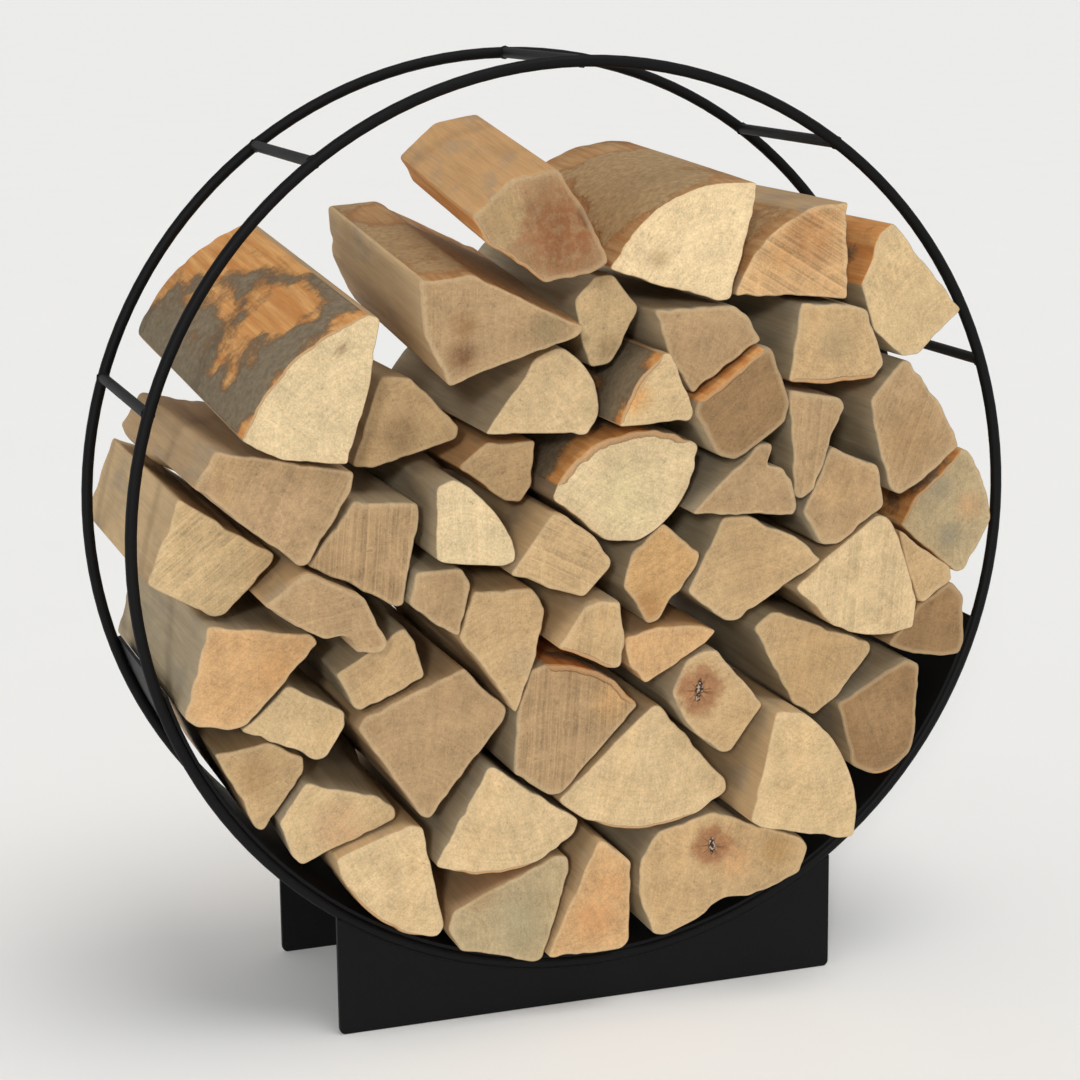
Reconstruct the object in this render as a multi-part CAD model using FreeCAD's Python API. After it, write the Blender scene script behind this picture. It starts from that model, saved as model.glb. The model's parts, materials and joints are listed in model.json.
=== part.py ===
import FreeCAD, Part
import math
import os

# Round firewood log rack, loaded with split logs.  Millimetres, +Z up, front towards -Y.
# The origin is on the floor, midway between the two feet and midway between the two hoops.

V = FreeCAD.Vector

# ---- frame -------------------------------------------------------------------------------
BAR_D = 10.0                 # round bar of the two hoops
HOOP_OD = 800.0              # outside diameter of a hoop
HOOP_R = (HOOP_OD - BAR_D) / 2
HOOP_Y = 105.0               # each hoop stands this far in front of or behind the middle
FLOOR_GAP = 32.5             # underside of the hoops above the floor
HOOP_Z = FLOOR_GAP + HOOP_OD / 2

RUNG_D = 9.5                 # cross bars, a little thinner than the hoops they are welded to
RUNG_STEP = 36.0             # degrees between neighbouring cross bars, counted from the top

TRAY_T = 3.0                 # rolled sheet the logs lie on
TRAY_OUT_R = HOOP_R - BAR_D / 2
TRAY_END = 107.0             # the sheet's two ends, degrees from the top
TRAY_HALF_W = 108.0          # half the sheet's width, along Y

FOOT_W = 464.0               # flat plate under each hoop
FOOT_T = 5.0
FOOT_CORNER = 5.0            # radius of the plate's lower corners


def ring_point(radius, degrees, y):
    """Point on a circle about the hoops' axis, counted from the top towards +X."""
    a = math.radians(degrees)
    return V(radius * math.sin(a), y, HOOP_Z + radius * math.cos(a))


def hoop(y):
    return Part.makeTorus(HOOP_R, BAR_D / 2, V(0, y, HOOP_Z), V(0, 1, 0))


def rung(degrees):
    """Cross bar between the hoops, its ends coped over the round bar."""
    bar = Part.makeCylinder(RUNG_D / 2, 2 * HOOP_Y, ring_point(HOOP_R, degrees, -HOOP_Y), V(0, 1, 0))
    return bar.cut(hoop(-HOOP_Y)).cut(hoop(HOOP_Y))


def tray():
    """Rolled sheet lying against the inside of both hoops."""
    y = -TRAY_HALF_W
    in_r = TRAY_OUT_R - TRAY_T
    outer = Part.Arc(ring_point(TRAY_OUT_R, TRAY_END, y),
                     ring_point(TRAY_OUT_R, 180, y),
                     ring_point(TRAY_OUT_R, -TRAY_END, y)).toShape()
    inner = Part.Arc(ring_point(in_r, -TRAY_END, y),
                     ring_point(in_r, 180, y),
                     ring_point(in_r, TRAY_END, y)).toShape()
    left = Part.makeLine(ring_point(TRAY_OUT_R, -TRAY_END, y), ring_point(in_r, -TRAY_END, y))
    right = Part.makeLine(ring_point(in_r, TRAY_END, y), ring_point(TRAY_OUT_R, TRAY_END, y))
    face = Part.Face(Part.Wire([outer, left, inner, right]))
    return face.extrude(V(0, 2 * TRAY_HALF_W, 0))


def foot(y_mid):
    """Plate with a straight lower edge; its upper edge follows the outside of the hoop."""
    y = y_mid - FOOT_T / 2
    half = FOOT_W / 2
    r = HOOP_OD / 2
    top = HOOP_Z - math.sqrt(r * r - half * half)
    c = FOOT_CORNER
    k = c * (1 - math.sqrt(0.5))
    edges = [
        Part.makeLine(V(-half + c, y, 0), V(half - c, y, 0)),
        Part.Arc(V(half - c, y, 0), V(half - k, y, k), V(half, y, c)).toShape(),
        Part.makeLine(V(half, y, c), V(half, y, top)),
        Part.Arc(V(half, y, top), V(0, y, HOOP_Z - r), V(-half, y, top)).toShape(),
        Part.makeLine(V(-half, y, top), V(-half, y, c)),
        Part.Arc(V(-half, y, c), V(-half + k, y, k), V(-half + c, y, 0)).toShape(),
    ]
    return Part.Face(Part.Wire(edges)).extrude(V(0, FOOT_T, 0))


# ---- logs --------------------------------------------------------------------------------
# One entry per log:
#   number: (front, length, shift, lean, corners)
# front    Y of the sawn front end
# length   along Y
# shift    (x, z) moves the whole outline to its place in the pile
# lean     (x, z) how far the rear end is set over from the front end
# corners  outline of the front end, clockwise seen from the front; a third number makes
#          the side that starts there a round bark side that swells out by that much
LOGS = {
    1: (-180, 250, (-16, 5), (12, 30),
        [(-108, 706), (-74, 734), (-34, 741, 4), (10, 662), (-10, 653), (-46, 649), (-95, 683)]),
    2: (-160, 295, (-10, 3), (0, 15),
        [(12, 657, 26), (144, 723), (142, 700), (121, 626), (110, 625), (80, 633)]),
    3: (-160, 325, (-11, 3), (0, 0),
        [(125, 629, 16), (204, 702), (229, 704), (229, 621)]),
    4: (-155, 315, (-10, 3), (0, 0),
        [(243, 632), (258, 674), (272, 684), (287, 668), (341, 605), (300, 568), (283, 567),
         (256, 592)]),
    5: (-175, 325, (-13, 6), (10, 31),
        [(-153, 655), (-108, 658), (-12, 610), (-18, 602), (-130, 567), (-150, 610)]),
    6: (-165, 330, (-8, 5), (-20, 44),
        [(-306, 534, 17), (-200, 630), (-188, 626), (-198, 571), (-217, 507), (-273, 516)]),
    7: (-105, 285, (9, -6), (0, 0),
        [(-189, 580), (-163, 577), (-122, 534), (-124, 523), (-198, 502), (-216, 506)]),
    8: (-130, 300, (2, -1), (0, 0),
        [(-20, 633), (-2, 652), (14, 653), (37, 624), (30, 608), (12, 578), (-6, 575),
         (-14, 596)]),
    9: (-160, 318, (-10, 3), (0, 0),
        [(51, 621), (122, 622), (136, 612), (149, 590), (86, 548), (66, 580)]),
    10: (-160, 308, (-12, 4), (0, 0),
         [(186, 619), (230, 617), (249, 610), (266, 562), (258, 551, 5), (176, 552)]),
    11: (-145, 310, (-4, 2), (0, 0),
         [(-99, 524), (-55, 585), (-32, 594, 11), (1, 535), (-8, 518)]),
    12: (-180, 330, (-18, 8), (0, 0),
         [(20, 523, 7), (60, 583), (68, 582), (87, 532), (84, 524)]),
    13: (-170, 320, (-15, 7), (0, 0),
         [(89, 530), (92, 539), (152, 582), (160, 581), (176, 532), (172, 517), (126, 486),
          (110, 492)]),
    14: (-160, 300, (-12, 5), (0, 0),
         [(176, 544), (225, 534), (230, 526), (202, 455), (190, 447), (183, 451)]),
    15: (-150, 322, (-8, 3), (0, 0),
         [(254, 530), (284, 564), (290, 563, 4), (343, 483), (300, 450), (284, 444),
          (275, 450), (263, 482)]),
    16: (-115, 290, (7, -4), (-3, -1),
         [(-125, 498), (-100, 518), (-56, 517), (-60, 478), (-70, 464), (-83, 466)]),
    17: (-150, 315, (-6, 3), (0, 0),
         [(-40, 465), (-35, 480, 27), (91, 503), (91, 496, 13), (35, 423), (5, 426)]),
    18: (-165, 325, (-13, 7), (0, 0),
         [(86, 442), (128, 480), (148, 498), (160, 498), (168, 486), (180, 463), (184, 440),
          (180, 433)]),
    19: (-150, 305, (-7, 3), (0, 0),
         [(217, 492), (262, 472), (268, 436), (262, 430), (224, 405), (207, 405), (190, 436)]),
    20: (-115, 295, (11, -5), (0, 0),
         [(283, 416), (297, 440), (345, 482), (350, 480, 5), (375, 415), (350, 370),
          (340, 368)]),
    21: (-155, 318, (-5, 4), (0, 0),
         [(-347, 498), (-328, 527), (-213, 501), (-216, 485), (-254, 427), (-262, 426)]),
    22: (-130, 300, (2, -2), (0, 0),
         [(35, 105), (38, 135), (53, 158), (105, 171), (114, 169), (195, 136), (199, 128),
          (190, 103), (62, 61), (50, 63)]),
    23: (-115, 292, (4, -5), (0, 2),
         [(-389, 421), (-361, 492), (-281, 438), (-284, 430), (-325, 390), (-335, 389)]),
    24: (-160, 310, (-8, 6), (-2, 4),
         [(-145, 422), (-142, 482), (-128, 488, 12), (-74, 415), (-85, 411), (-138, 418)]),
    25: (-145, 312, (-3, 2), (0, 0),
         [(-255, 426), (-214, 477), (-159, 471), (-158, 458), (-174, 385), (-182, 385)]),
    26: (-160, 320, (-9, 6), (0, 0),
         [(-79, 403), (-41, 452), (-30, 450), (-5, 430), (11, 408), (10, 402), (-14, 378),
          (-50, 389)]),
    27: (-145, 305, (-4, 3), (0, 0),
         [(22, 383), (30, 412), (59, 436), (94, 406), (90, 394), (54, 350), (44, 348)]),
    28: (-145, 318, (-4, 3), (0, 0),
         [(82, 373), (115, 436), (138, 436), (185, 413), (208, 391), (128, 343), (117, 344),
          (92, 361)]),
    29: (-145, 310, (-5, 3), (0, 0),
         [(184, 367), (212, 391), (262, 427), (272, 424), (281, 412), (303, 345),
          (300, 320, 8), (222, 330)]),
    30: (-135, 300, (0, 0), (0, 0),
         [(284, 412), (336, 373), (337, 362), (308, 342), (303, 345), (292, 380)]),
    31: (-120, 290, (8, -4), (0, 0),
         [(303, 341), (336, 361), (349, 346), (351, 303), (347, 292, 6), (275, 307)]),
    32: (-150, 315, (-5, 4), (0, 0),
         [(-169, 386), (-162, 412), (-122, 412), (-114, 398), (-125, 353), (-140, 360)]),
    33: (-160, 325, (-6, 7), (0, 0),
         [(-293, 395), (-256, 419), (-208, 394), (-188, 352), (-195, 345), (-215, 347),
          (-270, 377)]),
    34: (-130, 295, (1, -1), (1, 1),
         [(-234, 331), (-178, 364), (-172, 366), (-164, 352), (-156, 321), (-212, 296),
          (-219, 300)]),
    35: (-145, 320, (-3, 3), (0, 0),
         [(-126, 352), (-112, 391), (-60, 389), (-49, 371), (-58, 330), (-77, 281)]),
    36: (-165, 315, (-11, 8), (0, 0),
         [(-38, 335), (-12, 370), (0, 373), (20, 371), (23, 335), (19, 313), (8, 313)]),
    37: (-145, 310, (-4, 3), (0, 0),
         [(22, 338), (60, 345), (95, 342), (109, 336), (98, 325), (42, 295), (28, 312)]),
    38: (-125, 300, (5, -3), (0, 0),
         [(143, 336), (160, 349), (170, 347), (258, 311), (259, 303), (226, 264), (203, 249),
          (182, 262)]),
    39: (-125, 295, (5, -3), (0, 0),
         [(225, 258), (278, 286), (294, 293), (306, 287), (303, 213, 20), (240, 200)]),
    40: (-135, 305, (0, 0), (0, 0),
         [(-363, 307), (-341, 383), (-253, 367), (-247, 359), (-310, 295),
          (-325, 292), (-353, 298)]),
    41: (-125, 290, (2, -3), (0, 0),
         [(-316, 291), (-275, 326), (-268, 324), (-226, 298), (-225, 287), (-243, 260),
          (-252, 258)]),
    42: (-135, 312, (0, 0), (0, 0),
         [(-216, 282), (-210, 292), (-122, 326), (-84, 286), (-86, 277), (-155, 196),
          (-163, 199)]),
    43: (-135, 308, (0, 0), (0, 0),
         [(-79, 227), (-77, 275), (-64, 318), (-50, 322, 13), (36, 276), (-35, 204),
          (-47, 204)]),
    44: (-145, 315, (-4, 3), (0, 0),
         [(67, 285), (80, 312), (98, 320), (108, 320), (153, 265), (121, 224), (110, 227),
          (85, 248), (71, 270)]),
    45: (-110, 285, (6, -8), (0, 0),
         [(-340, 274), (-293, 279), (-262, 262), (-264, 248), (-300, 202), (-307, 205)]),
    46: (-120, 298, (4, -5), (9, 6),
         [(-287, 209), (-262, 240), (-200, 221), (-185, 209), (-184, 199), (-254, 173),
          (-268, 168), (-276, 175)]),
    47: (-135, 310, (0, 0), (0, 0),
         [(-151, 153), (-103, 236), (-97, 236), (-19, 178), (-22, 168, 23)]),
    48: (-130, 305, (2, -2), (0, 0),
         [(-40, 199), (50, 276), (58, 274), (118, 200), (119, 190, 32)]),
    49: (-165, 330, (-14, 11), (0, 0),
         [(143, 158), (168, 255), (195, 251, 14), (246, 147), (243, 132), (228, 132),
          (150, 152)]),
    50: (-135, 302, (0, 0), (0, 0),
         [(-238, 170), (-172, 192), (-161, 189), (-144, 97), (-151, 88, 20)]),
    51: (-135, 310, (0, 0), (0, 0),
         [(-141, 94), (-136, 110), (-42, 148), (-30, 146), (-27, 133), (-55, 55), (-62, 53),
          (-130, 73)]),
    52: (-140, 300, (-2, 2), (0, 0),
         [(-50, 56), (-2, 158), (5, 155), (29, 134), (27, 60), (20, 54), (-44, 54)]),
}


def bark_arc(a, b, swell):
    """Round side from a to b that swells outwards; the outline runs clockwise."""
    along = b.sub(a)
    out = V(-along.z, 0, along.x).normalize()
    middle = a.add(b).multiply(0.5).add(out.multiply(swell))
    return Part.Arc(a, middle, b).toShape()


def log(front, length, shift, lean, corners):
    points = [V(c[0] + shift[0], front, c[1] + shift[1]) for c in corners]
    sides = []
    for i, start in enumerate(points):
        end = points[(i + 1) % len(points)]
        if len(corners[i]) == 3:
            sides.append(bark_arc(start, end, corners[i][2]))
        else:
            sides.append(Part.makeLine(start, end))
    return Part.Face(Part.Wire(sides)).extrude(V(lean[0], length, lean[1]))


def write(name, *solids):
    """One STEP file per node, every piece in it a closed solid."""
    shape = solids[0] if len(solids) == 1 else Part.makeCompound(list(solids))
    shape.exportStep("parts/" + name + ".step")


os.makedirs("parts", exist_ok=True)
write("front_hoop", hoop(-HOOP_Y))
write("rear_hoop", hoop(HOOP_Y))
write("tray", tray())
write("front_foot", foot(-HOOP_Y))
write("rear_foot", foot(HOOP_Y))
write("top_rung", rung(0))
write("shoulder_rungs", rung(-RUNG_STEP), rung(RUNG_STEP))
write("side_rungs", rung(-2 * RUNG_STEP), rung(2 * RUNG_STEP))
for number, spec in LOGS.items():
    write("log_%02d" % number, log(*spec))
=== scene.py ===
"""Looks of the round firewood rack: split beech logs with sawn ends and bark, and a black rack."""

import json
import math

import bpy
import numpy as np
from mathutils import Matrix, Vector


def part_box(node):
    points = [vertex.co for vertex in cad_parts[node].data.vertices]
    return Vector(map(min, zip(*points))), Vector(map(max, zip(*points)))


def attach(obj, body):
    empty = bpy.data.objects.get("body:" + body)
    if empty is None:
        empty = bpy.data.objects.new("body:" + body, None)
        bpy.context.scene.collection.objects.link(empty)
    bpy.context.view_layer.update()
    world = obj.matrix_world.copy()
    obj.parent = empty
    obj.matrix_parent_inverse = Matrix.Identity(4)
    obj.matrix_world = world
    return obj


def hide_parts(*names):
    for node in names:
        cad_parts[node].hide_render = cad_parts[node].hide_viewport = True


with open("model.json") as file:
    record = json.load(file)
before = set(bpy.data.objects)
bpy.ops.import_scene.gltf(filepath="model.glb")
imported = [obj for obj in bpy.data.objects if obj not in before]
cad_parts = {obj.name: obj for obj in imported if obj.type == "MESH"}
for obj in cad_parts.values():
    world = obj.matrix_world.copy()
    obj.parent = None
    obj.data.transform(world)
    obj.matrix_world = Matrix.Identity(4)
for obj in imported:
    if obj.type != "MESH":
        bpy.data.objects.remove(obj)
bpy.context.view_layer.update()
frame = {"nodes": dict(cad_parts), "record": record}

MM = 0.001


# ---- camera, light and floor ---------------------------------------------------------------

CAMERA_AT = (-0.768, -2.225, 0.921)
CAMERA_RIGHT = (0.9453, -0.3260, -0.0113)
CAMERA_UP = (0.0810, 0.2012, 0.9762)
CAMERA_LENS = 89.28          # on a 36 mm wide sensor
LIGHT_AWAY = 3.0
SKY_HORIZON = 0.86           # the studio's walls are as bright as its floor, its ceiling is darker
SKY_TOP = 0.38
FLOOR_GLOW = 0.06            # light the floor gives off itself, which keeps it pale in shadow
SKY_FALL = 0.5               # upward part of the direction at which the ceiling's tone is reached


def camera():
    """Camera at the photo's viewing angle."""
    data = bpy.data.cameras.new("camera")
    data.lens = CAMERA_LENS
    data.sensor_width = 36
    data.clip_start = 0.05
    data.clip_end = 300
    obj = bpy.data.objects.new("camera", data)
    right = Vector(CAMERA_RIGHT).normalized()
    up = Vector(CAMERA_UP).normalized()
    back = right.cross(up).normalized()
    up = back.cross(right)
    turn = Matrix((right, up, back)).transposed().to_4x4()
    obj.matrix_world = Matrix.Translation(CAMERA_AT) @ turn
    bpy.context.scene.collection.objects.link(obj)
    bpy.context.scene.camera = obj


def far_light(name, azimuth, elevation, spread, strength, tint):
    """Large distant soft light; azimuth is counted from the front towards the right."""
    data = bpy.data.lights.new(name, "SUN")
    data.angle = math.radians(spread)
    data.energy = strength * math.pi
    data.color = tint
    obj = bpy.data.objects.new(name, data)
    a = math.radians(azimuth)
    e = math.radians(elevation)
    way = Vector((math.sin(a) * math.cos(e), -math.cos(a) * math.cos(e), math.sin(e)))
    obj.location = way * LIGHT_AWAY
    obj.rotation_euler = way.to_track_quat("Z", "Y").to_euler()
    bpy.context.scene.collection.objects.link(obj)


def light():
    """Low key light a little left of the front, a soft light from above, and a pale studio."""
    far_light("key", azimuth=-26, elevation=18, spread=7, strength=0.34, tint=(1.0, 0.985, 0.96))
    far_light("overhead", azimuth=28, elevation=70, spread=40, strength=0.36, tint=(1.0, 0.99, 0.97))
    world = bpy.data.worlds.new("studio")
    world.use_nodes = True
    tree = world.node_tree
    sky = tree.nodes["Background"]
    sky.inputs["Color"].default_value = (1, 1, 1, 1)
    way = tree.nodes.new("ShaderNodeTexCoord")
    split = tree.nodes.new("ShaderNodeSeparateXYZ")
    fall = tree.nodes.new("ShaderNodeMapRange")
    fall.inputs["From Min"].default_value = 0.0
    fall.inputs["From Max"].default_value = SKY_FALL
    fall.inputs["To Min"].default_value = SKY_HORIZON
    fall.inputs["To Max"].default_value = SKY_TOP
    tree.links.new(way.outputs["Generated"], split.inputs[0])
    tree.links.new(split.outputs["Z"], fall.inputs["Value"])
    tree.links.new(fall.outputs[0], sky.inputs["Strength"])
    bpy.context.scene.world = world
    bpy.context.scene.view_settings.view_transform = "Standard"


# ---- node helper ---------------------------------------------------------------------------

class Nodes:
    """Short calls for building a material's node tree; every call returns an output socket."""

    def __init__(self, name):
        self.material = bpy.data.materials.new(name)
        self.material.use_nodes = True
        self.tree = self.material.node_tree
        self.shader = self.tree.nodes["Principled BSDF"]

    def add(self, kind, inputs=(), **settings):
        node = self.tree.nodes.new(kind)
        for key, value in settings.items():
            setattr(node, key, value)
        for key, value in dict(inputs).items():
            self.feed(node.inputs[key], value)
        return node

    def feed(self, socket, value):
        if isinstance(value, bpy.types.NodeSocket):
            self.tree.links.new(value, socket)
        else:
            socket.default_value = value

    def attribute(self, name, output="Fac"):
        return self.add("ShaderNodeAttribute", attribute_name=name).outputs[output]

    def math(self, operation, a, b=0.0, c=0.0):
        return self.add("ShaderNodeMath", {0: a, 1: b, 2: c}, operation=operation).outputs[0]

    def scaled(self, vector, factors):
        node = self.add("ShaderNodeVectorMath", {0: vector, 1: factors}, operation="MULTIPLY")
        return node.outputs[0]

    def noise(self, vector, scale, detail=2.0, roughness=0.5, distortion=0.0):
        """Soft noise; the scale is in cells per unit of the vector, mostly per metre."""
        inputs = {"Vector": vector, "Scale": scale, "Detail": detail,
                  "Roughness": roughness, "Distortion": distortion}
        return self.add("ShaderNodeTexNoise", inputs).outputs["Fac"]

    def lines(self, coordinate, detail=1.0):
        """Irregular parallel lines, about one per unit of the coordinate."""
        inputs = {"W": coordinate, "Scale": 1.0, "Detail": detail}
        return self.add("ShaderNodeTexNoise", inputs, noise_dimensions="1D").outputs["Fac"]

    def step(self, value, low, high, out_low=0.0, out_high=1.0):
        inputs = {"Value": value, "From Min": low, "From Max": high,
                  "To Min": out_low, "To Max": out_high}
        return self.add("ShaderNodeMapRange", inputs, interpolation_type="SMOOTHSTEP").outputs[0]

    def mix(self, factor, a, b, blend="MIX"):
        inputs = {"Factor": factor}
        node = self.add("ShaderNodeMix", inputs, data_type="RGBA", blend_type=blend)
        self.feed(node.inputs[6], a)
        self.feed(node.inputs[7], b)
        return node.outputs[2]

    def shade(self, colour, factor):
        """Colour made lighter or darker by a grey factor."""
        grey = self.add("ShaderNodeCombineColor", {0: factor, 1: factor, 2: factor}).outputs[0]
        return self.mix(1.0, colour, grey, "MULTIPLY")

    def bump(self, height, distance):
        inputs = {"Height": height, "Distance": distance, "Strength": 1.0}
        return self.add("ShaderNodeBump", inputs).outputs[0]


def linear(red, green, blue):
    """Screen colour, 0 to 255, as a linear colour."""
    parts = [c / 255 for c in (red, green, blue)]
    low = [c / 12.92 for c in parts]
    high = [((c + 0.055) / 1.055) ** 2.4 for c in parts]
    return tuple(a if c <= 0.04045 else b for c, a, b in zip(parts, low, high)) + (1.0,)


# ---- materials -----------------------------------------------------------------------------

KNOT_DARK = (138, 92, 62)
KNOT_LIGHT = (176, 126, 86)
CRACK = (66, 45, 33)
CRACK_CHIP = (176, 158, 138)
CUT_BARK_DARK = (150, 98, 54)
CUT_BARK_LIGHT = (200, 150, 98)
# pale colour of the painted highlight on the sawn end's rim
BARK_LINE = (98, 70, 46)
ARRIS_HIGHLIGHT = (216, 192, 152)
GREY_STAIN = (0.26, 0.235, 0.19, 1.0)
WARMER = (1.0, 0.86, 0.70, 1.0)
INNER_STREAK = (0.80, 0.64, 0.50, 1.0)
FLAKE_BRINK = (0.86, 0.62, 0.46, 1.0)
COAT_DARK = (8, 8, 9)
COAT_LIGHT = (15, 15, 16)
COAT_DUST = (40, 38, 34)
FLOOR_DARK = (244, 244, 243)
FLOOR_LIGHT = (247, 247, 246)
WOOD_GLOSS = 0.22
COAT_GLOSS = 0.15
FLOOR_GLOSS = 0.1
WOOD_RELIEF = 0.0007         # metres of bump at full height
COAT_RELIEF = 0.00012
RINGS_PER_METRE = 330.0


class Wood(Nodes):
    """Sawn ends, split sides and bark of a log, told apart by the log mesh's own attributes."""

    def __init__(self, name):
        super().__init__(name)
        self.pith = self.attribute("pith", "Vector")
        self.flat = self.scaled(self.pith, (1.0, 0.12, 1.0))
        self.blotch = self.noise(self.flat, 120.0, 3.0, 0.6)
        self.grit = self.noise(self.pith, 620.0, 2.0, 0.6)
        self.fibre = self.noise(self.scaled(self.pith, (1.0, 0.035, 1.0)), 640.0, 3.0, 0.6)
        self.streak = self.noise(self.scaled(self.pith, (1.0, 0.05, 1.0)), 110.0, 3.0, 0.6, 0.4)
        self.crust = self.noise(self.scaled(self.pith, (1.0, 0.8, 1.0)), 190.0, 4.0, 0.7)
        self.saw = self.add("ShaderNodeSeparateXYZ", {0: self.attribute("saw", "Vector")})
        self.knot = self.add("ShaderNodeSeparateXYZ", {0: self.attribute("knot", "Vector")})
        self.rings, self.rays = self.growth()
        self.sawn = self.saw_marks()
        self.crack = None
        self.flake = self.bark_flakes()
        barky = self.vary(self.attribute("bark"), self.crust, 0.5)
        self.is_bark = self.step(barky, 0.42, 0.58)
        self.is_end = self.step(self.vary(self.attribute("end"), self.grit, 0.3), 0.40, 0.60)

        face = self.painted_arris_highlight(self.cut_bark(self.knotted(self.sawn_end())))
        side = self.mix(self.is_bark, self.split_side(), self.bark_skin())
        self.feed(self.shader.inputs["Base Color"], self.mix(self.is_end, side, face))
        rough = self.math("MULTIPLY_ADD", self.grit, 0.16, 0.72)
        self.feed(self.shader.inputs["Roughness"], rough)
        self.shader.inputs["Specular IOR Level"].default_value = WOOD_GLOSS
        self.feed(self.shader.inputs["Normal"], self.bump(self.relief(), WOOD_RELIEF))

    def vary(self, value, source, weight):
        """The value, raised or lowered by up to half the weight as the source runs from 0 to 1."""
        return self.math("MULTIPLY_ADD", source, weight, self.math("SUBTRACT", value, weight / 2))

    def growth(self):
        """Growth rings and rays, which belong to the whole log."""
        part = self.add("ShaderNodeSeparateXYZ", {0: self.pith})
        square = self.math("ADD", self.math("MULTIPLY", part.outputs[0], part.outputs[0]),
                           self.math("MULTIPLY", part.outputs[2], part.outputs[2]))
        radius = self.math("SQRT", square)
        warp = self.noise(self.flat, 16.0, 2.0)
        ringed = self.math("MULTIPLY_ADD", warp, 0.016, radius)
        rings = self.lines(self.math("MULTIPLY", ringed, RINGS_PER_METRE), 1.5)
        level = self.scaled(self.pith, (1.0, 0.0, 1.0))
        aim = self.add("ShaderNodeVectorMath", {0: level}, operation="NORMALIZE")
        aim_part = self.add("ShaderNodeSeparateXYZ", {0: aim.outputs[0]})
        inputs = {0: aim_part.outputs[0], 1: aim_part.outputs[2], 2: self.math("MULTIPLY", radius, 0.5)}
        ray_at = self.add("ShaderNodeCombineXYZ", inputs)
        return rings, self.noise(ray_at.outputs[0], 70.0, 2.0, 0.6)

    def saw_marks(self):
        """Fine and broad scratches across the sawn end, fading in places."""
        at = self.math("MULTIPLY_ADD", self.noise(self.flat, 22.0, 1.0), 3.0, self.saw.outputs[0])
        fine = self.step(self.lines(self.math("MULTIPLY", at, 0.42), 1.0), 0.36, 0.62)
        broad = self.step(self.lines(self.math("MULTIPLY", at, 0.14), 1.0), 0.36, 0.64)
        here = self.step(self.noise(self.flat, 46.0, 2.0), 0.36, 0.56, 0.35, 1.0)
        return self.math("MULTIPLY", self.math("MULTIPLY", self.saw.outputs[1], here),
                         self.math("MULTIPLY_ADD", broad, 0.4, self.math("MULTIPLY", fine, 0.6)))

    def sawn_end(self):
        cloud = self.noise(self.flat, 34.0, 3.0, 0.55)
        speck = self.step(self.noise(self.pith, 330.0, 2.0, 0.7), 0.60, 0.74)
        value = self.math("MULTIPLY_ADD", cloud, 0.66, 0.67)
        value = self.vary(value, self.blotch, 0.50)
        value = self.vary(value, self.rings, 0.18)
        value = self.vary(value, self.rays, 0.20)
        value = self.vary(value, self.grit, 0.66)
        value = self.math("MULTIPLY_ADD", self.saw.outputs[1], 0.20, value)
        value = self.math("MULTIPLY_ADD", self.sawn, -0.48, value)
        value = self.math("MULTIPLY_ADD", speck, -0.22, value)
        face = self.shade(self.attribute("tone", "Color"), value)
        warm = self.step(self.noise(self.flat, 20.0, 2.0), 0.52, 0.72, 0.0, 0.20)
        face = self.mix(warm, face, self.mix(1.0, face, WARMER, "MULTIPLY"))
        spot = self.add("ShaderNodeAttribute", attribute_name="spot")
        patchy = self.step(self.blotch, 0.28, 0.62, 0.45, 1.0)
        soak = self.math("MULTIPLY", spot.outputs["Alpha"], patchy)
        return self.mix(soak, face, self.shade(spot.outputs["Color"], value))

    def knotted(self, face):
        """The sawn end with its knot: rings of its own, thin cracks and a broken heart."""
        x, z, present = self.knot.outputs
        reach = self.math("SQRT", self.math("ADD", self.math("POWER", x, 2.0), self.math("POWER", z, 2.0)))
        reach = self.vary(reach, self.noise(self.flat, 75.0, 3.0, 0.6), 1.3)
        inside = self.math("MULTIPLY", present, self.step(reach, 0.55, 1.15, 1.0, 0.0))
        rings = self.lines(self.math("MULTIPLY", reach, 7.0), 1.0)
        tone = self.mix(rings, linear(*KNOT_DARK), linear(*KNOT_LIGHT))
        mottle = self.math("MULTIPLY_ADD", self.blotch, 0.9, 0.2)
        tone = self.shade(tone, self.math("MULTIPLY_ADD", self.grit, 0.7, mottle))
        face = self.mix(self.math("MULTIPLY", inside, 0.85), face, tone)

        at = self.add("ShaderNodeCombineXYZ", {0: x, 1: z}).outputs[0]
        aim = self.add("ShaderNodeVectorMath", {0: at}, operation="NORMALIZE").outputs[0]
        beside = self.math("ABSOLUTE", self.math("SUBTRACT", self.noise(aim, 0.9, 3.0), 0.5))
        star = self.math("MULTIPLY", self.step(beside, 0.0, 0.03, 1.0, 0.0),
                         self.step(reach, 0.15, 0.60, 1.0, 0.0))
        star = self.math("MULTIPLY", star, self.math("MULTIPLY", present, 0.55))
        heart = self.math("ADD", self.math("POWER", self.math("MULTIPLY", x, 3.4), 2.0),
                          self.math("POWER", self.math("MULTIPLY", z, 1.5), 2.0))
        heart = self.vary(heart, self.noise(self.flat, 160.0, 2.0), 1.2)
        core = self.math("MULTIPLY", present, self.step(heart, 0.10, 0.34, 1.0, 0.0))
        self.crack = self.math("MAXIMUM", core, star)
        chip = self.step(self.noise(self.pith, 420.0, 1.0), 0.50, 0.60)
        broken = self.mix(self.math("MULTIPLY", chip, core), linear(*CRACK), linear(*CRACK_CHIP))
        return self.mix(self.crack, face, broken)

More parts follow.
